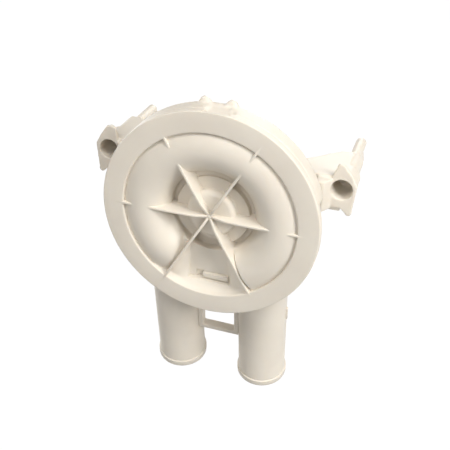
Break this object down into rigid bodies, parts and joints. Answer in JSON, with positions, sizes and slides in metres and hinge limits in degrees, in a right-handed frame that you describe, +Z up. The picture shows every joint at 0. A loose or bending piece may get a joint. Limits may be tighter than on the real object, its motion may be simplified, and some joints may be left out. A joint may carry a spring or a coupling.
{
  "type": "washer drain pump",
  "caption": "Round drain pump for a direct-drive washer: ribbed disc cover, leaning hose spigots, two eared arms with rear posts and a rear drive socket.",
  "frame": {"origin": "centre of the mouth of the drive socket, on the pump axis", "axes": "+Y along the pump axis towards the motor, +Z up away from the hose spigots, +X to the right seen from the cover"},
  "size_m": [0.1602, 0.0928, 0.2083],
  "materials": {
    "moulded_body": "satin moulded polypropylene, warm cream",
    "impeller_plastic": "satin glass-filled plastic, light grey",
    "black_rubber": "matte",
    "shaft_steel": "turned, satin",
    "spring_steel": "drawn wire",
    "sintered_bronze": "matte sintered",
    "carbon": "lapped carbon, dull black",
    "seal_ceramic": "lapped",
    "washer_plastic": "natural acetal"
  },
  "bodies": {
    "pump_body": {"front_cover": "moulded_body", "cover_seal": "black_rubber", "rear_housing": "moulded_body", "inlet_spigot": "moulded_body", "outlet_spigot": "moulded_body", "spigot_bridge": "moulded_body", "left_arm": "moulded_body", "right_arm": "moulded_body", "seal_seat": "seal_ceramic", "seat_cup": "black_rubber", "bearing_sleeve": "sintered_bronze", "flapper_pin": "shaft_steel"},
    "rotor": {"impeller": "impeller_plastic", "drive_hub": "shaft_steel", "seal_face": "carbon", "seal_bellows": "black_rubber", "seal_spring": "spring_steel", "slinger": "black_rubber", "thrust_washer": "washer_plastic", "retaining_ring": "spring_steel"},
    "flap": {"flapper": "black_rubber"}
  },
  "joints": [
    {"name": "impeller_spin", "type": "hinge", "parent": "pump_body", "child": "rotor", "pos_m": [0, 0, 0], "axis": [0, 1, 0], "continuous": true},
    {"name": "flapper_swing", "type": "hinge", "parent": "pump_body", "child": "flap", "pos_m": [0.0293, -0.02948, -0.06706], "axis": [1, 0, 0], "range_deg": [0, 65]}
  ]
}
